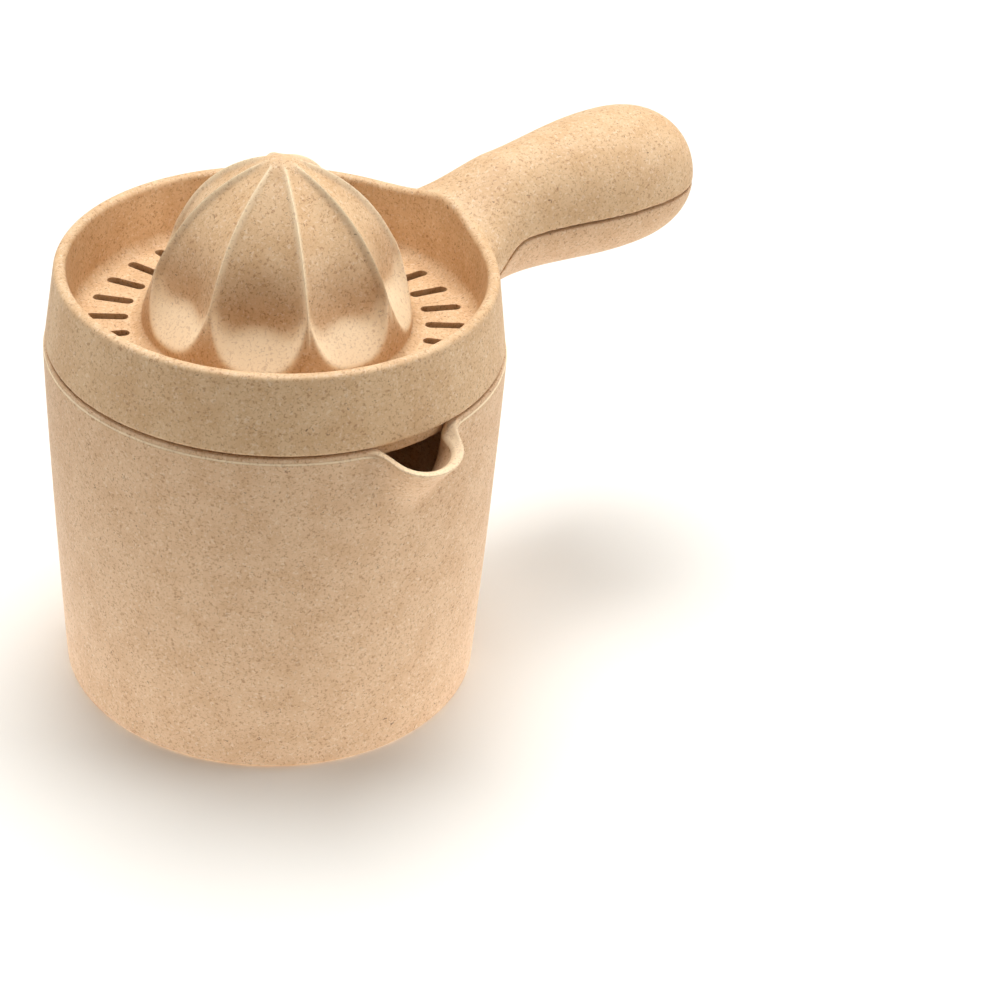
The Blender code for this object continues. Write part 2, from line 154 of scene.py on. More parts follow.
def newTree(name, sockets):
    # a Geometry Nodes tree with its named inputs, and the node that gives them
    tree = bpy.data.node_groups.new(name, "GeometryNodeTree")
    tree.interface.new_socket("Geometry", in_out="OUTPUT", socket_type="NodeSocketGeometry")
    for label, kind in sockets.items():
        tree.interface.new_socket(label, in_out="INPUT", socket_type="NodeSocket" + kind)
    return tree, addNode(tree, "NodeGroupInput")


def endTree(tree, geometry, material):
    # gives the result its material and closes the tree
    painted = addNode(tree, "GeometryNodeSetMaterial", {}, {"Geometry": geometry, "Material": material})
    addNode(tree, "NodeGroupOutput", {}, {"Geometry": painted.outputs[0]})
    return tree


def growTree(obj, tree, values):
    # sets a tree's named inputs by their identifiers and keeps the result as a plain mesh
    nodes = obj.modifiers.new("nodes", "NODES")
    nodes.node_group = tree
    for item in tree.interface.items_tree:
        if item.in_out == "INPUT" and item.name in values:
            nodes[item.identifier] = values[item.name]
    return settle(obj)


# Handle, shared by both mouldings: sections round the level parting line, as in the CAD model

handle = {
    "parting": 102.8 * mm,   # height of the parting line
    # reach from the jug's axis
    "start": 46.0 * mm, "neck": 69.0 * mm, "bulb": 101.0 * mm, "tip": 128.4 * mm,
    "tipBlunt": 2.7, "wall": 2.3 * mm,
    # the lower half: its upright face at the root, that face's rounding, the seam, and its later start
    "tongue": 56.5 * mm, "corner": 9.0 * mm, "gap": 0.8 * mm, "lowerInset": 5.6 * mm,
    # each section: half width, rise over the parting line, drop under it, roundness
    "rootSize": (21.5 * mm, 9.2 * mm, 20.0 * mm, 1.5),
    "neckSize": (13.8 * mm, 16.9 * mm, 15.1 * mm, 2.0),
    "bulbSize": (17.9 * mm, 19.3 * mm, 16.3 * mm, 2.05),
    "sides": 96, "stations": 70, "cutterSides": 240,
}

# the even skin that gives both mouldings their softened edges; edges over smoothAngle degrees stay sharp
skin = {
    "voxel": 0.4 * mm, "smoothing": 0.5, "passes": 6, "smoothAngle": 50,
    "lowerTriangles": 60000, "bowlTriangles": 180000,
}


def ease(a, b, share):
    share = min(max(share, 0.0), 1.0)
    return a + (b - a) * share * share * (3 - 2 * share)


def handleSection(x, wall):
    # one ring of points round the parting line, moved inwards by wall
    h = handle
    toNeck = (x - h["start"]) / (h["neck"] - h["start"])
    toBulb = (x - h["neck"]) / (h["bulb"] - h["neck"])
    size = []
    for root, neck, bulb in zip(h["rootSize"], h["neckSize"], h["bulbSize"]):
        size.append(neck + (root - neck) * (1 - toNeck) ** 2 if x < h["neck"] else ease(neck, bulb, toBulb))
    halfWidth, _, drop, power = size
    rootRise, neckRise, bulbRise = h["rootSize"][1], h["neckSize"][1], h["bulbSize"][1]
    if x < h["neck"]:
        rise = ease(rootRise, neckRise, toNeck)
    else:
        rise = neckRise + (bulbRise - neckRise) * math.sin(0.5 * math.pi * min(toBulb, 1.0))
    tip = h["tip"] - wall
    beyond = max(0.0, (x - h["bulb"]) / (tip - h["bulb"]))
    closing = math.sqrt(max(0.0, 1 - beyond ** h["tipBlunt"]))
    ring = []
    for i in range(h["sides"]):
        t = 2 * math.pi * i / h["sides"]
        across = math.copysign(abs(math.cos(t)) ** (2 / power), math.cos(t)) * closing
        up = math.copysign(abs(math.sin(t)) ** (2 / power), math.sin(t)) * closing
        height = ((rise if up > 0 else drop) - wall) * up
        ring.append((x, (halfWidth - wall) * across, h["parting"] + height))
    return ring


def handleBody(name, start, wall):
    # sections from start to just short of the tip, closer together towards it
    sides, stations = handle["sides"], handle["stations"]
    points = []
    tip = handle["tip"] - wall
    for i in range(stations):
        x = start + (tip - start) * math.sin(0.5 * math.pi * i / (stations - 0.75))
        points += handleSection(x, wall)
    faces = gridFaces(stations, sides, True)
    faces.append(tuple(range(sides))[::-1])
    faces.append(tuple(range((stations - 1) * sides, stations * sides)))
    return newPiece(name, meshFrom(name, points, faces))


def partingZone(name, shift, seam):
    # the jug's side of the parting: under the seam, and under the parting line past the tongue
    face, level = handle["tongue"] - shift, handle["parting"] + shift
    corner = handle["corner"] + shift
    farEnd, halfWidth = 200 * mm, 60 * mm   # well past the object on all sides
    outline = [(-farEnd, 0.0), (farEnd, 0.0), (farEnd, level)]
    outline += arc(face + corner, level - corner, corner, 90, 180, steps=14)
    outline += [(face, seam), (-farEnd, seam)]
    return prism(name, [[(x, y, z) for x, z in outline] for y in (-halfWidth, halfWidth)])


def soften(obj, mostTriangles):
    # one even skin over the joined solids, with moulded edges instead of knife edges
    remesh = obj.modifiers.new("skin", "REMESH")
    remesh.mode = "VOXEL"
    remesh.voxel_size = skin["voxel"]
    remesh.adaptivity = 0.0
    smooth = obj.modifiers.new("edges", "SMOOTH")
    smooth.factor = skin["smoothing"]
    smooth.iterations = skin["passes"]
    settle(obj)
    triangles = len(obj.data.polygons) * 2
    if triangles > mostTriangles:
        fewer = obj.modifiers.new("fewer", "DECIMATE")
        fewer.ratio = mostTriangles / triangles
        settle(obj)
    return obj


# Jug: wall, pouring lip and foot are one surface, found column by column from a blended outline

jug = {
    "height": 89.8 * mm, "rimRadius": 54.7 * mm, "baseRadius": 51.7 * mm, "bulge": 1.35,
    "wall": 2.4 * mm, "floor": 2.8 * mm, "floorFillet": 6.0 * mm,
    "rimRound": 0.7 * mm, "innerRound": 0.7 * mm,
    "footHeight": 0.3 * mm, "footInset": 1.4 * mm, "baseRound": 0.4 * mm,
    # the ledge's width, how far under the rim it is, and its slope
    "ledge": 0.28 * mm, "ledgeDrop": 1.1 * mm, "ledgeLift": 0.1 * mm,
    "ledgeHighlight": 1.0, "lipHighlight": 0.6,   # painted highlight: how strongly the ledge and the lip's rounded edge are lightened
    "rootDrop": 0.6 * mm,   # the handle's lower half ends this far under the rim
    # the lip is a leaning cone: its radius and reach at the rim, and how it narrows downwards
    "lipRadius": 9.9 * mm, "lipReach": 58.1 * mm, "lipDepth": 25.0 * mm, "lipFoot": 5.5 * mm, "lipLean": 0.68,
    "lipDeepest": 1.2, "lipBlend": (5.5 * mm, 3.0 * mm), "blendPace": 1.6,
    "dipFrom": 52.6 * mm, "dipSlope": 0.37, "dipRound": 1.5 * mm,   # the edge dips from here to the nose
    # in degrees: column spacing at the lip and round the wall, the lip's spread, where the ledge fades
    "lipColumn": 0.3, "wallColumn": 1.6, "lipSpread": 15.0, "lipEnds": (11.0, 14.0),
    # rows of points, as shares of the foot's radius, of the wall's height (two runs) and of the floor
    "footRows": (0.002, 0.3, 0.65, 0.93, 1.0), "wallRows": ((0.04, 0.6, 14), (0.63, 0.98, 28)),
    "floorRows": (0.75, 0.4, 0.002),
    # the search along each column: from, to, steps, then halvings; and rounds for the dipping edge
    "search": (72.0 * mm, 40.0 * mm, 321), "halvings": 24, "edgeRounds": 6,
}


def jugOutline(radius, angle, z):
    # signed distance, in the level plane at z, to the jug's outside with its lip
    j = jug
    below = np.clip((j["height"] - z) / j["lipDepth"], 0, j["lipDeepest"])
    toTop = np.clip(1 - z / j["height"], 0, 1)
    wallRadius = j["rimRadius"] - (j["rimRadius"] - j["baseRadius"]) * toTop ** j["bulge"]
    reach = j["lipReach"] - j["lipLean"] * below * j["lipDepth"]
    lipRadius = j["lipRadius"] + (j["lipFoot"] - j["lipRadius"]) * below
    topBlend, lowBlend = j["lipBlend"]
    blend = topBlend + (lowBlend - topBlend) * np.clip(below * j["blendPace"], 0, 1)
    toWall = radius - wallRadius
    toLip = np.hypot(radius * np.cos(angle) - reach, radius * np.sin(angle)) - lipRadius
    share = np.clip(blend - np.abs(toWall - toLip), 0, None) / blend
    return np.minimum(toWall, toLip) - share ** 2 * blend / 4


def outlineRadius(angles, z, inset):
    # how far out each column meets the outline, moved inwards by inset: a coarse search, then halving
    steps = np.linspace(*jug["search"])
    value = jugOutline(steps[:, None], angles[None, :], z) + inset
    first = np.argmax(value < 0, axis=0)
    high, low = steps[np.maximum(first - 1, 0)], steps[first]
    for _ in range(jug["halvings"]):
        middle = (low + high) / 2
        outside = jugOutline(middle, angles, z) + inset > 0
        high, low = np.where(outside, middle, high), np.where(outside, low, middle)
    return (low + high) / 2


def edgeHeight(angles):
    # the rim is level round the jug and dips along the lip towards its nose
    j = jug
    height = np.full(len(angles), j["height"])
    for _ in range(j["edgeRounds"]):
        forward = outlineRadius(angles, height, 0.0) * np.cos(angles)
        past = np.where(np.abs(angles) < math.radians(j["lipSpread"]), forward - j["dipFrom"], 0.0)
        past = np.maximum(past, 0.0)
        height = j["height"] - j["dipSlope"] * past ** 2 / (past + j["dipRound"])
    return height


def jugColumns():
    # the angle of each column from the middle of the lip, closer together at the lip
    j = jug
    near = np.arange(0, j["lipSpread"], j["lipColumn"])
    far = np.linspace(j["lipSpread"], 180, int((180 - j["lipSpread"]) / j["wallColumn"]))
    half = np.concatenate([near, far])
    return np.radians(np.concatenate([half, -half[1:-1][::-1]]))


def makeJugBody():
    j = jug
    angles = jugColumns()
    count = len(angles)
    rows = []   # (radius per column, height), from the middle of the foot, up outside and down inside
    baseZ = j["footHeight"]
    footRadius = j["baseRadius"] - j["footInset"]
    for share in j["footRows"]:
        rows.append((np.full(count, footRadius * share), 0.0))
    rows.append((np.full(count, footRadius), baseZ))
    edge = j["baseRound"]
    for r, z in arc(j["baseRadius"] - edge, baseZ + edge, edge, -90, 0, steps=6):
        rows.append((np.full(count, r), z))
    top = edgeHeight(angles)
    rise = np.concatenate([np.linspace(*run) for run in j["wallRows"]])
    for share in rise:
        rows.append((outlineRadius(angles, top * share, 0.0), top * share))
    # a fine ledge goes round just under the rim, then a narrow band up to the rounded top edge
    gone, whole = j["lipEnds"]
    atLip = np.clip((math.radians(whole) - np.abs(angles)) / math.radians(whole - gone), 0, 1)
    width, low = j["ledge"] * (1 - atLip), j["ledgeDrop"]
    ledgeRow = len(rows) + 1
    # share of the ledge's width, and height from the rim
    for share, drop in ((0, -low - j["ledge"]), (0.1, -low - j["ledge"] * 0.8), (0.9, -low),
                        (1, -low + j["ledgeLift"])):
        rows.append((outlineRadius(angles, top + drop, share * width), top + drop))
    for inset, drop in arc(j["rimRound"], -j["rimRound"], j["rimRound"], 180, 90, steps=7):
        rows.append((outlineRadius(angles, top + drop, inset + width), top + drop))
    wall = j["wall"]
    for inset, drop in arc(wall - j["innerRound"], -j["innerRound"], j["innerRound"], 90, 0, steps=6):
        rows.append((outlineRadius(angles, top + drop, inset), top + drop))
    lastRim = len(rows) - 1
    for share in rise[::-1][:-1]:
        rows.append((outlineRadius(angles, top * share, wall), top * share))
    innerBase = j["baseRadius"] - wall
    fillet = j["floorFillet"]
    for r, z in arc(innerBase - fillet, j["floor"] + fillet, fillet, 0, -90, steps=8):
        rows.append((np.full(count, r), z))
    for share in j["floorRows"]:
        rows.append((np.full(count, (innerBase - fillet) * share), j["floor"]))
    points = []
    turn = angles - math.pi / 2
    for radius, z in rows:
        points += list(zip(radius * np.cos(turn), radius * np.sin(turn), np.zeros(count) + z))
    faces = gridFaces(len(rows), count, True)
    faces.append(tuple(range(count)))
    faces.append(tuple(range((len(rows) - 1) * count, len(rows) * count))[::-1])
    mesh = meshFrom("jugMoulding", points, faces)
    # painted highlight: the share of lighter colour, row by row, along the ledge and over the rounded edge at
    # the lip, where those edges catch the light
    pale = np.zeros((len(rows), count))
    pale[ledgeRow:ledgeRow + 2] = j["ledgeHighlight"] * (1 - atLip)
    pale[ledgeRow + 5:lastRim] = j["lipHighlight"] * atLip
    mesh.attributes.new("paintedHighlight", "FLOAT", "POINT").data.foreach_set("value", pale.ravel())
    return newPiece("jugMoulding", mesh)


def makeJug():
    j = jug
    body = makeJugBody()
    half = handleBody("lowerHalf", handle["start"] + handle["lowerInset"], 0.0)
    # trimmed to the parting, then hollowed, then kept out of the jug's inside
    zone = partingZone("jugSide", -handle["gap"] / 2, j["height"] - j["rootDrop"])
    combine(half, zone, "INTERSECT", "MANIFOLD")
    hollow = handleBody("lowerHollow", handle["tongue"] + handle["wall"], handle["wall"])
    combine(half, hollow, "DIFFERENCE")
    axisHole, cutTop = 10 * mm, 150 * mm
    midRim, midBase = j["rimRadius"] - j["wall"] * 0.5, j["baseRadius"] - j["wall"] * 0.5
    inside = [(axisHole, cutTop), (midRim, cutTop), (midRim, j["height"]), (midBase, 0.0), (axisHole, 0.0)]
    combine(half, turned("insideJug", inside, handle["cutterSides"]), "DIFFERENCE")
    soften(half, skin["lowerTriangles"])
    combine(body, half, "UNION")
    # the handle gets no painted highlight, but the union hands some of its points the ledge's values
    handleSide, outside = 40 * mm, j["rimRadius"] + 0.05 * mm
    pale = body.data.attributes["paintedHighlight"].data
    for vertex in body.data.vertices:
        if vertex.co.x > handleSide and vertex.co.xy.length > outside:
            pale[vertex.index].value = 0.0
    shadeSmooth(body, skin["smoothAngle"])
    return body


# Press top, first piece: bowl wall, skirt and the upper handle half that runs into the rim

bowl = {
    "bottom": 90.3 * mm, "height": 18.8 * mm, "bottomRadius": 54.2 * mm, "rimRadius": 51.8 * mm,
    "rimWidth": 3.0 * mm, "rimRound": 1.2 * mm, "edgeRound": 0.4 * mm,
    "draft": 0.6 * mm, "fillet": 2.8 * mm,
    # the floor's height over the bottom edge, its thickness, where it starts and where the plate is let in
    "floorHeight": 3.4 * mm, "floorThick": 2.0 * mm, "floorFrom": 40.0 * mm, "plateRadius": 44.9 * mm,
    "skirtRadius": 51.8 * mm, "skirtDepth": 4.0 * mm, "skirtWall": 1.8 * mm,
    "archRise": 3.8 * mm, "archSpread": 12.5,   # the rim's rise at the handle, and its spread in degrees
    # the handle's upper half stays outside this radius and this far over the bottom edge
    "rootReach": 50.4 * mm, "rootLift": 0.1 * mm,
    "sides": 360,
}


def makeBowl():
    b = bowl
    floorZ = b["bottom"] + b["floorHeight"]
    rimZ = b["bottom"] + b["height"]
    inner = b["rimRadius"] - b["rimWidth"]
    foot = inner - b["draft"]
    rim = b["rimRound"]
    underside = floorZ - b["floorThick"]
    skirtFoot = b["bottom"] - b["skirtDepth"]
    inside = b["skirtRadius"] - b["skirtWall"]
    profile = [(b["floorFrom"], underside), (b["floorFrom"], floorZ)]
    profile += arc(foot - b["fillet"], floorZ + b["fillet"], b["fillet"], -90, 0)
    profile += arc(inner + rim, rimZ - rim, rim, 180, 90)
    profile += arc(b["rimRadius"] - rim, rimZ - rim, rim, 90, 0)
    edge = b["edgeRound"]
    profile += arc(b["bottomRadius"] - edge, b["bottom"] + edge, edge, 0, -90, steps=5)
    profile += [(b["skirtRadius"], b["bottom"]), (b["skirtRadius"], skirtFoot), (inside, skirtFoot),
                (inside, underside)]
    ring = turned("bowlAndHandle", profile[::-1], b["sides"])
    for vertex in ring.data.vertices:
        # the rim rises in a soft arch where the handle's upper half runs out of it
        angle = math.degrees(math.atan2(vertex.co.y, vertex.co.x))
        share = max(0.0, (vertex.co.z - floorZ) / (rimZ - floorZ))
        vertex.co.z += b["archRise"] * math.exp(-(angle / b["archSpread"]) ** 2) * share ** 2

    half = handleBody("upperHalf", handle["start"], 0.0)
    combine(half, partingZone("underTop", handle["gap"] / 2, b["bottom"] + b["rootLift"]), "DIFFERENCE")
    combine(half, handleBody("upperHollow", handle["tongue"], handle["wall"]), "DIFFERENCE")
    underAll, overHandle, overFloor = 80 * mm, 150 * mm, 100 * mm   # ends of the two round cutters
    plug = roundCutter("rootPlug", b["rootReach"], underAll, overHandle, handle["cutterSides"])
    combine(half, plug, "DIFFERENCE")
    combine(ring, half, "UNION")
    soften(ring, skin["bowlTriangles"])
    hole = roundCutter("plateHole", b["plateRadius"], underAll, overFloor, plate["sides"])
    combine(ring, hole, "DIFFERENCE")
    shadeSmooth(ring, skin["smoothAngle"])
    return ring


# Press top, second piece: the slotted strainer plate

plate = {
    "innerRadius": 34.4 * mm, "sides": 288,
    "slots": 30, "slotWidth": 2.7 * mm, "slotFrom": 34.9 * mm, "slotTo": 44.8 * mm,
    # the bevel of the slots' edges: width, segments, the least angle in radians that gets it, and how far
    # it stays from the plate's inner and outer rim
    "edge": 0.12 * mm, "edgeSegments": 3, "edgeTurn": 1.2, "edgeMargins": (0.2 * mm, 0.05 * mm),
    "smoothAngle": 40,
}


def slotTree():
    # Geometry Nodes: one upright cutter, set round a circle with an even step between copies
    tree, inlet = newTree("slotRing", {"Count": "Int", "Reach": "Float", "Slot": "Object",
                                       "Material": "Material"})
    circle = addNode(tree, "GeometryNodeMeshCircle", {}, {"Vertices": inlet.outputs["Count"],
                                                         "Radius": inlet.outputs["Reach"]})
    place = addNode(tree, "GeometryNodeInputPosition")
    turn = addNode(tree, "FunctionNodeAlignEulerToVector", {"axis": "X"}, {"Vector": place.outputs[0]})
    slot = addNode(tree, "GeometryNodeObjectInfo", {}, {"Object": inlet.outputs["Slot"]})
    copies = addNode(tree, "GeometryNodeInstanceOnPoints", {}, {
        "Points": circle.outputs[0], "Instance": slot.outputs["Geometry"], "Rotation": turn.outputs[0]})
    real = addNode(tree, "GeometryNodeRealizeInstances", {}, {"Geometry": copies.outputs[0]})
    return endTree(tree, real.outputs[0], inlet.outputs["Material"])


def makePlate(material):
    p = plate
    floorZ = bowl["bottom"] + bowl["floorHeight"]
    under = floorZ - bowl["floorThick"]
    profile = [(p["innerRadius"], under), (p["innerRadius"], floorZ), (bowl["plateRadius"], floorZ),
               (bowl["plateRadius"], under)]
    disc = turned("strainerPlate", profile[::-1], p["sides"])

    # a slot is a run with round ends, cut right through the plate
    halfRun, endRadius = (p["slotTo"] - p["slotFrom"] - p["slotWidth"]) / 2, p["slotWidth"] / 2
    outline = arc(halfRun, 0, endRadius, -90, 90, steps=12)
    outline += arc(-halfRun, 0, endRadius, 90, 270, steps=12)
    slot = prism("slotShape", [[(x, y, z) for x, y in outline] for z in (under - mm, floorZ + mm)])
    ring = newPiece("slotCutters", bpy.data.meshes.new("slotCutters"))
    growTree(ring, slotTree(), {"Count": p["slots"], "Reach": (p["slotFrom"] + p["slotTo"]) / 2,
                                "Slot": slot, "Material": material})
    bpy.data.objects.remove(slot)
    combine(disc, ring, "DIFFERENCE")

    # only the sharp edges of the slots are bevelled, not the plate's own rims
    nearest, farthest = p["innerRadius"] + p["edgeMargins"][0], bowl["plateRadius"] - p["edgeMargins"][1]
    bm = bmesh.new()
    bm.from_mesh(disc.data)
    weight = bm.edges.layers.float.new("bevel_weight_edge")
    for edge in bm.edges:
        middle = (edge.verts[0].co + edge.verts[1].co) / 2
        inSlots = nearest < math.hypot(middle.x, middle.y) < farthest
        if inSlots and len(edge.link_faces) == 2 and edge.calc_face_angle() > p["edgeTurn"]:
            edge[weight] = 1.0
    bm.to_mesh(disc.data)
    bm.free()
    bevel = disc.modifiers.new("slotEdges", "BEVEL")
    bevel.limit_method = "WEIGHT"
    bevel.width = p["edge"]
    bevel.segments = p["edgeSegments"]
    settle(disc)
    shadeSmooth(disc, p["smoothAngle"])
    return disc


# Press top, third piece: the fluted reamer. One flute is worked out and then turned round the axis

reamer = {
    "flutes": 8, "height": 43.0 * mm, "radius": 31.8 * mm,
    # handles of the crest's curve, at the crown and at the flank
    "crownReach": 14.0 * mm, "crownDrop": 3.5 * mm, "flankLean": 0.8 * mm, "flankReach": 26.0 * mm,
    # flutes: depth of the hollow, the reach over which they start, and how much deeper they get low down
    "hollow": 0.9 * mm, "faceStart": 1.5 * mm, "faceFull": 15.0 * mm,
    "footHollow": 1.3 * mm, "footFrom": 27.0 * mm, "footFull": 12.0 * mm,
    # ribs: height and half width of the bead, the reach over which it starts, and the heights where it ends
    "beadRise": 0.9 * mm, "beadHalf": 0.68 * mm, "beadStart": 2.0 * mm, "beadFull": 8.0 * mm,
    "beadFoot": (8.0 * mm, 14.0 * mm),
    # petals: a slope through this point at this angle in degrees, its half width and round corners
    "scoopReach": 31.6 * mm, "scoopHeight": 3.4 * mm, "scoopAngle": 50.0, "scoopHalf": 11.2 * mm,
    "scoopCorner": 8.0 * mm, "creaseSoft": 1.05 * mm, "petalSoft": 0.4 * mm, "footFillet": 1.8 * mm,
    # painted highlight on rib crests and petals: half width along the ribs, and how close to a petal's slope
    # and between which heights
    "ribHighlightHalf": 0.65 * mm, "petalEdge": 0.5 * mm, "petalHighlightShare": 0.8,
    "petalLow": (2.0 * mm, 3.5 * mm), "petalHigh": (20.0 * mm, 14.0 * mm),
    # underneath: how far the hollow keeps behind the crest
    "depth": 4.2 * mm, "depthPower": 1.2, "depthFull": 29.6 * mm, "wall": 2.2 * mm, "hollowFoot": 25.0 * mm,
    "footBreak": 0.4 * mm,
    # the mesh: columns crowd towards the ribs, rows are rays from a point at this height on the axis
    "columns": 56, "crowding": 1.8, "rows": 130, "eye": 6.0 * mm, "weld": 0.002 * mm,
    "crestPoints": 160, "reachLimits": (2.0 * mm, 48.0 * mm), "halvings": 30, "smoothAngle": 60,
}


def crestLine():
    # the rib's crest from tip to foot, a cubic curve of (reach, height) points
    c = reamer
    p = np.array([(0.0, c["height"]), (c["crownReach"], c["height"] - c["crownDrop"]),
                  (c["radius"] - c["flankLean"], c["flankReach"]), (c["radius"], 0.0)])
    t = np.linspace(0, 1, c["crestPoints"])[:, None]
    return (1 - t) ** 3 * p[0] + 3 * (1 - t) ** 2 * t * p[1] + 3 * (1 - t) * t ** 2 * p[2] + t ** 3 * p[3]


def softMax(a, b, size):
    # the larger of two distances, with the corner between them rounded over this size
    share = np.clip(size - np.abs(a - b), 0, None) / size
    return np.maximum(a, b) + share ** 2 * size / 4


def softMin(a, b, size):
    return -softMax(-a, -b, size)


def growth(reach, start, full):
    # grows smoothly from 0 at start to 1 at full
    share = np.clip((reach - start) / (full - start), 0, 1)
    return share * share * (3 - 2 * share)


def reamerField(r, z, phi, crest):
    # a distance, below zero inside the reamer and its floor; phi is the turn from the flute's middle line
    c = reamer
    # the nearest place on the crest, taken as a turned dome: how far off, how far out, how it leans
    extended = np.vstack([crest, [crest[-1][0], -20.0 * mm]])   # it runs on straight down under the floor
    a, b = extended[:-1], extended[1:]
    along = b - a
    px, pz = r[..., None] - a[:, 0], z[..., None] - a[:, 1]
    share = np.clip((px * along[:, 0] + pz * along[:, 1]) / (along ** 2).sum(1), 0, 1)
    dx, dz = px - share * along[:, 0], pz - share * along[:, 1]
    gap = np.hypot(dx, dz)
    nearest = gap.argmin(-1)
    pick = np.take_along_axis
    side = np.sign(dz * along[:, 0] - dx * along[:, 1])
    dome = (pick(gap, nearest[..., None], -1) * pick(side, nearest[..., None], -1))[..., 0]
    crestReach = a[nearest, 0] + pick(share, nearest[..., None], -1)[..., 0] * along[nearest, 0]
    lean = -along[nearest, 1] / np.hypot(along[nearest, 0], along[nearest, 1])

    # each flute is nearly flat from rib to rib, and the ribs stand on its edges as round beads
    half = math.pi / c["flutes"]
    turn = np.abs(phi)
    flat = crestReach * (1 - math.cos(half) / np.cos(turn)) * lean
    deeper = c["footHollow"] * growth(-z, -c["footFrom"], -c["footFull"])
    hollow = (c["hollow"] + deeper) * (1 - (turn / half) ** 2)
    toRib = crestReach * np.sin(half - turn)
    low, full = c["beadFoot"]
    bead = c["beadRise"] * (1 - growth(z, low, full) * np.exp(-(toRib / c["beadHalf"]) ** 2))
    fluted = dome + growth(crestReach, c["faceStart"], c["faceFull"]) * (flat + hollow)
    fluted = fluted + growth(crestReach, c["beadStart"], c["beadFull"]) * bead

    # low down every flute runs out over a slope with round lower corners, seen as a petal
    slope = math.radians(c["scoopAngle"])
    ahead, aside = r * np.cos(phi), np.abs(r * np.sin(phi))
    ramp = (ahead - c["scoopReach"]) * math.sin(slope) + (z - c["scoopHeight"]) * math.cos(slope)
    scoop = softMin(ramp, c["scoopHalf"] - aside, c["scoopCorner"])
    body = softMin(fluted, softMax(dome, scoop, c["petalSoft"]), c["creaseSoft"])
    return softMin(body, z, c["footFillet"]), scoop


def fluteSector():
    c = reamer
    crest = crestLine()
    half = math.pi / c["flutes"]
    # columns lie closer together towards the ribs
    t = np.linspace(-1, 1, c["columns"] + 1)
    phi = half * np.sign(t) * (1 - (1 - np.abs(t)) ** c["crowding"])
    lowest = math.atan2(-c["eye"], plate["innerRadius"])
    lift = np.radians(90) - np.linspace(0, 1, c["rows"]) * (np.radians(90) - lowest)
    lift, phi = np.meshgrid(lift, phi, indexing="ij")
    # each ray is followed out to the surface by halving
    low, high = (np.full(lift.shape, limit) for limit in c["reachLimits"])
    for _ in range(c["halvings"]):
        middle = (low + high) / 2
        r, z = middle * np.cos(lift), c["eye"] + middle * np.sin(lift)
        inside = reamerField(r, z, phi, crest)[0] < 0
        low, high = np.where(inside, middle, low), np.where(inside, high, middle)
    r, z = low * np.cos(lift), c["eye"] + low * np.sin(lift)
    r[-1], z[-1] = plate["innerRadius"], 0.0
    r[0] = 0.0
    # underneath: the floor's lower face, then the hollow up to its middle
    under, footBreak = -bowl["floorThick"], c["footBreak"]
    rings = [(plate["innerRadius"], under), (c["hollowFoot"] + footBreak, under),
             (c["hollowFoot"], under + footBreak)]
    for x, y in crest[::-1][8::6]:   # from a little over the foot; every sixth point is enough
        step = np.gradient(crest, axis=0)[np.argmin(np.hypot(crest[:, 0] - x, crest[:, 1] - y))]
        out = np.array([-step[1], step[0]]) / np.hypot(*step)
        depth = c["depth"] * min(1, (x / c["depthFull"]) ** c["depthPower"]) + c["wall"]
        inner = np.array([x, y]) - out * depth
        if 1 * mm < inner[0] < c["hollowFoot"]:
            rings.append(tuple(inner))
    rings.append((0.0, rings[-1][1]))
    for x, y in rings:
        r = np.vstack([r, np.full(r.shape[1], x)])
        z = np.vstack([z, np.full(z.shape[1], y)])
    phi = np.vstack([phi, np.repeat(phi[:1], len(rings), axis=0)])
    floorZ = bowl["bottom"] + bowl["floorHeight"]
    points = np.stack([r * np.cos(phi), r * np.sin(phi), z + floorZ], -1).reshape(-1, 3)
    mesh = meshFrom("fluteSector", points, gridFaces(r.shape[0], r.shape[1], False))
    # how near each point is to a rib's crest or to a petal, for the painted highlight there
    place = np.array([tuple(v.co) for v in mesh.vertices])
    reach, turn = np.hypot(place[:, 0], place[:, 1]), np.arctan2(place[:, 1], place[:, 0])
    up = place[:, 2] - floorZ
    rib = np.exp(-(reach * np.sin(half - np.abs(turn)) / c["ribHighlightHalf"]) ** 2)
    rib = rib * growth(reach, c["beadStart"], c["beadFull"]) * growth(up, *c["beadFoot"])
    _, scoop = reamerField(reach, up, turn, crest)
    petal = np.exp(-(scoop / c["petalEdge"]) ** 2) * growth(up, *c["petalLow"])
    petal = petal * growth(-up, -c["petalHigh"][0], -c["petalHigh"][1])
    pale = np.maximum(rib, c["petalHighlightShare"] * petal)
    mesh.attributes.new("paintedHighlight", "FLOAT", "POINT").data.foreach_set("value", pale)
    return newPiece("fluteSector", mesh)


def sectorTree():
    # Geometry Nodes: turns copies of one flute round the axis and welds them along the ribs
    tree, inlet = newTree("fluteRing", {"Flutes": "Int", "Sector": "Object", "Weld": "Float",
                                        "Material": "Material"})
    points = addNode(tree, "GeometryNodePoints", {}, {"Count": inlet.outputs["Flutes"]})
    index = addNode(tree, "GeometryNodeInputIndex")
    pitch = addNode(tree, "ShaderNodeMath", {"operation": "DIVIDE", 0: 2 * math.pi},
                    {1: inlet.outputs["Flutes"]})
    turn = addNode(tree, "ShaderNodeMath", {"operation": "MULTIPLY"},
                   {0: index.outputs[0], 1: pitch.outputs[0]})
    spin = addNode(tree, "ShaderNodeCombineXYZ", {}, {"Z": turn.outputs[0]})
    sector = addNode(tree, "GeometryNodeObjectInfo", {}, {"Object": inlet.outputs["Sector"]})
    copies = addNode(tree, "GeometryNodeInstanceOnPoints", {}, {
        "Points": points.outputs[0], "Instance": sector.outputs["Geometry"], "Rotation": spin.outputs[0]})
    real = addNode(tree, "GeometryNodeRealizeInstances", {}, {"Geometry": copies.outputs[0]})
    weld = addNode(tree, "GeometryNodeMergeByDistance", {}, {"Geometry": real.outputs[0],
                                                             "Distance": inlet.outputs["Weld"]})
    return endTree(tree, weld.outputs[0], inlet.outputs["Material"])


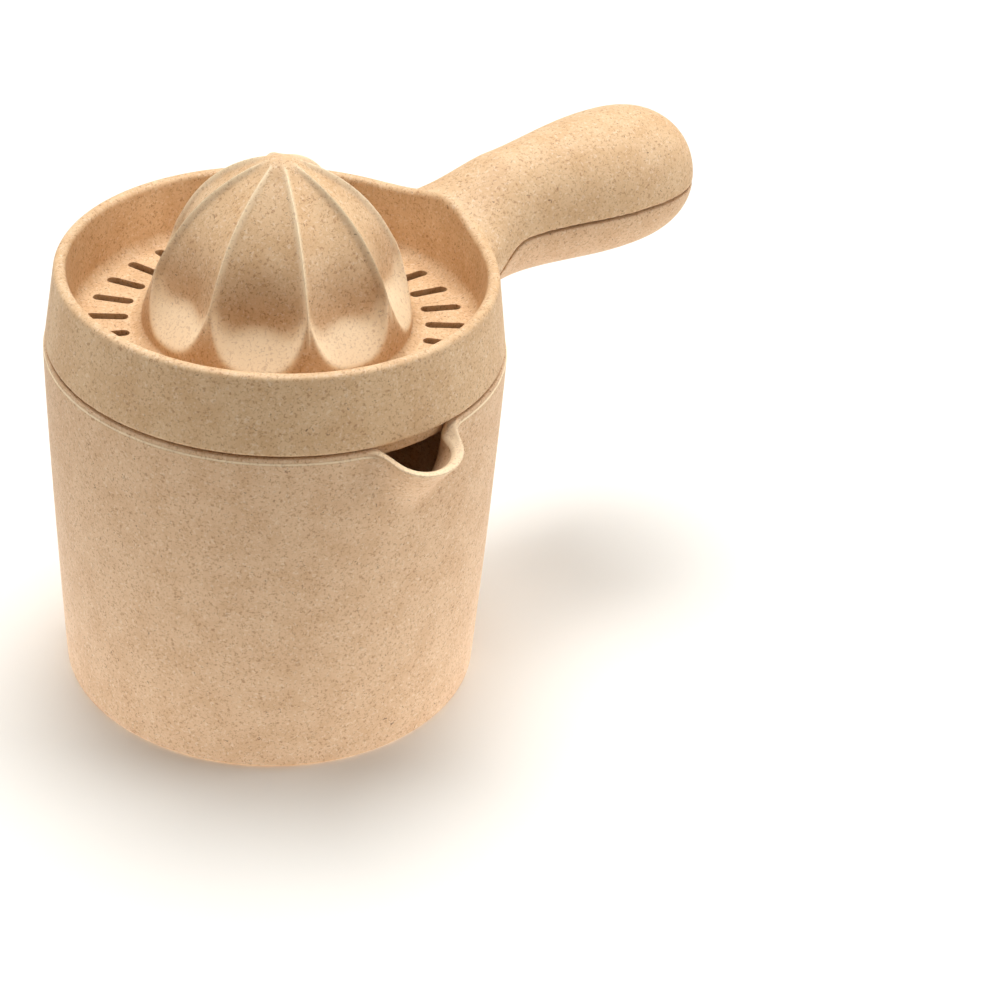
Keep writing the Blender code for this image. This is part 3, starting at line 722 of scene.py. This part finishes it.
def makeReamer(material):
    sector = fluteSector()
    whole = newPiece("reamer", bpy.data.meshes.new("reamer"))
    growTree(whole, sectorTree(), {"Flutes": reamer["flutes"], "Sector": sector, "Weld": reamer["weld"],
                                   "Material": material})
    bpy.data.objects.remove(sector)
    shadeSmooth(whole, reamer["smoothAngle"])
    return whole


# Materials

fibrePlastic = {
    # each moulding's tone, and the shade that mottles it
    "jug": ("#DCB892", "#D0A87F"), "press top": ("#DBB88E", "#CEA679"),
    # each layer after its colour: size of the pattern, noise detail, distortion, noise limits, strength
    "mottle": (7.0 * mm, 3.0, 0.0, (0.40, 0.62), 0.7),
    "husk": ("#A06D42", 0.66 * mm, 2.0, 0.8, (0.47, 0.33), 0.66),
    "pale": ("#EDD7B9", 0.66 * mm * 1.3, 2.0, 0.8, (0.55, 0.70), 0.5),
    "speck": ("#6B4020", 1.0 * mm, 1.0, 1.2, (0.29, 0.22), 0.8),
    "noiseRoughness": 0.6,
    # painted highlight on thin edges and the reamer's petals: its colour, and its strength under and over the
    # flecks
    "crest": "#FAE3BE", "highlightUnder": 0.8, "highlightOver": 0.5,
    "bump": (0.25, 0.03 * mm), "roughness": 0.62, "ior": 1.49,   # bump: strength and depth
}


def makeFibrePlastic(piece):
    # PP filled with milled plant husk, injection moulded against a fine matt tool: an opaque, dry surface
    # with densely packed brown flecks under the skin, and a broad, soft highlight
    f = fibrePlastic
    base, shade = f[piece]
    material = bpy.data.materials.new("Moulded husk-filled PP, " + piece)
    material.use_nodes = True
    tree = material.node_tree
    shader = tree.nodes["Principled BSDF"]
    place = addNode(tree, "ShaderNodeTexCoord").outputs["Object"]

    def layer(under, colour, size, detail, distortion, limits, strength):
        # a noise field of this size, thresholded between the limits, lays a colour over the one below.
        # A colour mix takes its share at input 0 and its two colours at 6 and 7, and gives output 2
        noise = addNode(tree, "ShaderNodeTexNoise", {
            "Scale": 1 / size, "Detail": detail, "Roughness": f["noiseRoughness"],
            "Distortion": distortion}, {"Vector": place})
        ramp = addNode(tree, "ShaderNodeMapRange", {
            "From Min": limits[0], "From Max": limits[1], "To Max": strength}, {"Value": noise.outputs[0]})
        mix = addNode(tree, "ShaderNodeMix", {"data_type": "RGBA"}, {0: ramp.outputs[0]})
        mix.inputs[7].default_value = hexColour(colour)
        if under is None:
            mix.inputs[6].default_value = hexColour(base)
        else:
            tree.links.new(under, mix.inputs[6])
        return mix.outputs[2], noise.outputs[0]

    def paintHighlight(under, strength):
        # painted highlight: the light crest colour over the one below, where the piece's own attribute asks
        # for it
        thin = addNode(tree, "ShaderNodeAttribute", {"attribute_name": "paintedHighlight"}).outputs["Fac"]
        share = addNode(tree, "ShaderNodeMath", {"operation": "MULTIPLY", 1: strength}, {0: thin})
        mix = addNode(tree, "ShaderNodeMix", {"data_type": "RGBA"}, {0: share.outputs[0], 6: under})
        mix.inputs[7].default_value = hexColour(f["crest"])
        return mix.outputs[2]

    tone, _ = layer(None, shade, *f["mottle"])
    # thin crests and edges, and the petals at the reamer's foot, get a painted highlight, a lighter colour
    # under and over their flecks
    tone = paintHighlight(tone, f["highlightUnder"])
    tone, grain = layer(tone, *f["husk"])
    tone, _ = layer(tone, *f["pale"])
    tone, _ = layer(tone, *f["speck"])
    tree.links.new(paintHighlight(tone, f["highlightOver"]), shader.inputs["Base Color"])
    strength, depth = f["bump"]
    bump = addNode(tree, "ShaderNodeBump", {"Strength": strength, "Distance": depth}, {"Height": grain})
    tree.links.new(bump.outputs[0], shader.inputs["Normal"])
    shader.inputs["Roughness"].default_value = f["roughness"]
    shader.inputs["IOR"].default_value = f["ior"]
    return material


# Pieces

jugPlastic = makeFibrePlastic("jug")
topPlastic = makeFibrePlastic("press top")

print("jug moulding")
jugPiece = makeJug()
print("bowl and handle")
bowlPiece = makeBowl()
print("strainer plate")
platePiece = makePlate(topPlastic)
print("reamer")
reamerPiece = makeReamer(topPlastic)

for piece, material, body, node, slotName in (
        (jugPiece, jugPlastic, "jug", "jug", "jug_fibre_plastic"),
        (bowlPiece, topPlastic, "press_top", "press_top", "press_top_fibre_plastic"),
        (platePiece, topPlastic, "press_top", "press_top", "press_top_fibre_plastic"),
        (reamerPiece, topPlastic, "press_top", "press_top", "press_top_fibre_plastic")):
    piece.data.materials.clear()
    piece.data.materials.append(material)
    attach(piece, body)
    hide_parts(node)
    print(piece.name, sum(len(p.vertices) - 2 for p in piece.data.polygons), "triangles")


# Floor, light and camera

studio = {
    "floorColour": "#F0EEE8", "floorRoughness": 0.9, "floorHalf": 3.0,
    # the glow is full out to the first radius and gone at the second; the white starts and is whole at these
    "floorGlow": 0.95, "glowReach": (70 * mm, 160 * mm), "whiteFrom": (350 * mm, 700 * mm),
    "worldStrength": 0.02, "target": (0.02, 0.0, 0.07),
    "lamps": (   # name, place seen from the camera (right, away, up) in metres, size, watts
        ("overhead", (0.0, 0.36, 1.58), 1.0, 29.8),
        ("back", (0.0, 0.95, 0.6), 0.7, 0.3),
        ("rightCard", (0.95, 0.0, 0.5), 0.6, 4.4),
        ("leftCard", (-0.95, 0.0, 0.5), 0.6, 2.2),
        ("front", (0.0, -0.8, 0.8), 0.7, 1.0),
    ),
}


def makeFloor():
    s, half = studio, studio["floorHalf"]
    corners = [(-half, -half, 0), (half, -half, 0), (half, half, 0), (-half, half, 0)]
    floor = newPiece("floor", meshFrom("floor", corners, [(0, 1, 2, 3)]))
    material = bpy.data.materials.new("Matt white paper sweep")
    floor.data.materials.append(material)
    material.use_nodes = True
    tree = material.node_tree
    paper = tree.nodes["Principled BSDF"]
    paper.inputs["Base Color"].default_value = hexColour(s["floorColour"])
    paper.inputs["Roughness"].default_value = s["floorRoughness"]
    # round the foot the sweep glows on the object, as a light table does, but the camera doesn't see the
    # glow, so the floor keeps its shadows
    path = addNode(tree, "ShaderNodeLightPath")
    place = addNode(tree, "ShaderNodeTexCoord").outputs["Object"]
    reach = addNode(tree, "ShaderNodeVectorMath", {"operation": "LENGTH"}, {0: place}).outputs["Value"]
    fade = addNode(tree, "ShaderNodeMapRange", {
        "From Min": s["glowReach"][0], "From Max": s["glowReach"][1],
        "To Min": s["floorGlow"], "To Max": 0.0}, {"Value": reach})
    glow = addNode(tree, "ShaderNodeEmission", {}, {"Strength": fade.outputs[0]})
    both = addNode(tree, "ShaderNodeAddShader", {}, {0: paper.outputs[0], 1: glow.outputs[0]})
    # far from the object the camera sees it run out into the plain white background
    away = addNode(tree, "ShaderNodeMapRange", {
        "From Min": s["whiteFrom"][0], "From Max": s["whiteFrom"][1],
        "interpolation_type": "SMOOTHSTEP"}, {"Value": reach})
    blank = addNode(tree, "ShaderNodeEmission", {"Strength": 1.0})
    plain = addNode(tree, "ShaderNodeMixShader", {}, {
        0: away.outputs[0], 1: paper.outputs[0], 2: blank.outputs[0]})
    seen = addNode(tree, "ShaderNodeMixShader", {}, {
        0: path.outputs["Is Camera Ray"], 1: both.outputs[0], 2: plain.outputs[0]})
    tree.links.new(seen.outputs[0], tree.nodes["Material Output"].inputs["Surface"])


def makeWorld():
    # white where it is seen directly or in a reflection, and nearly no light of its own
    world = bpy.data.worlds.new("studio")
    scene.world = world
    world.use_nodes = True
    tree = world.node_tree
    soft = tree.nodes["Background"]
    white = addNode(tree, "ShaderNodeBackground")
    for background, strength in ((soft, studio["worldStrength"]), (white, 1.0)):
        background.inputs["Color"].default_value = (1.0, 1.0, 1.0, 1.0)
        background.inputs["Strength"].default_value = strength
    path = addNode(tree, "ShaderNodeLightPath")
    straight = addNode(tree, "ShaderNodeMath", {"operation": "MAXIMUM"}, {
        0: path.outputs["Is Camera Ray"], 1: path.outputs["Is Glossy Ray"]})
    anyRay = addNode(tree, "ShaderNodeMath", {"operation": "MAXIMUM"}, {
        0: straight.outputs[0], 1: path.outputs["Is Transmission Ray"]})
    mix = addNode(tree, "ShaderNodeMixShader", {}, {
        0: anyRay.outputs[0], 1: soft.outputs[0], 2: white.outputs[0]})
    tree.links.new(mix.outputs[0], tree.nodes["World Output"].inputs["Surface"])


def makeLamps():
    target = Vector(studio["target"])
    for name, place, size, watts in studio["lamps"]:
        place = Matrix.Rotation(-math.radians(cameraFit["handleTurn"]), 3, "Z") @ Vector(place)
        light = bpy.data.lights.new(name, "AREA")
        light.shape = "DISK"
        light.size = size
        light.energy = watts
        lamp = bpy.data.objects.new(name, light)
        lamp.location = place
        lamp.rotation_euler = (target - place).to_track_quat("-Z", "Y").to_euler()
        scene.collection.objects.link(lamp)


# fitted to the outlines in the photograph: lens and sensor in mm, angles in degrees
cameraFit = {
    "lens": 86.4, "distance": 622.66 * mm, "elevation": 37.258, "handleTurn": 36.0,
    "pitch": 3.345, "yaw": 5.388, "roll": -0.830, "sensor": 36, "clipStart": 10 * mm,
}


def makeCamera():
    # in front of the jug with the handle turned away, then aimed off centre as the photograph is
    c = cameraFit
    e, pitch, yaw, roll = (math.radians(c[k]) for k in ("elevation", "pitch", "yaw", "roll"))
    cosP, sinP, cosY, sinY, cosR, sinR = (f(a) for a in (pitch, yaw, roll) for f in (math.cos, math.sin))
    place = Vector((0, -c["distance"] * math.cos(e), c["distance"] * math.sin(e)))
    rows = Matrix(((1, 0, 0), (0, math.sin(e), math.cos(e)), (0, math.cos(e), -math.sin(e))))
    turnYaw = Matrix(((cosY, 0, -sinY), (0, 1, 0), (sinY, 0, cosY)))
    turnPitch = Matrix(((1, 0, 0), (0, cosP, -sinP), (0, sinP, cosP)))
    turnRoll = Matrix(((cosR, -sinR, 0), (sinR, cosR, 0), (0, 0, 1)))
    rows = turnRoll @ turnPitch @ turnYaw @ rows
    aim = Matrix((rows[0], rows[1], -rows[2])).transposed()
    camera = bpy.data.objects.new("camera", bpy.data.cameras.new("camera"))
    scene.collection.objects.link(camera)
    camera.data.sensor_width = c["sensor"]
    camera.data.lens = c["lens"]
    camera.data.clip_start = c["clipStart"]
    turn = Matrix.Rotation(-math.radians(c["handleTurn"]), 4, "Z")
    camera.matrix_world = turn @ Matrix.Translation(place) @ aim.to_4x4()
    scene.camera = camera


print("floor, light and camera")
makeFloor()
makeWorld()
makeLamps()
makeCamera()
scene.view_settings.view_transform = "Standard"
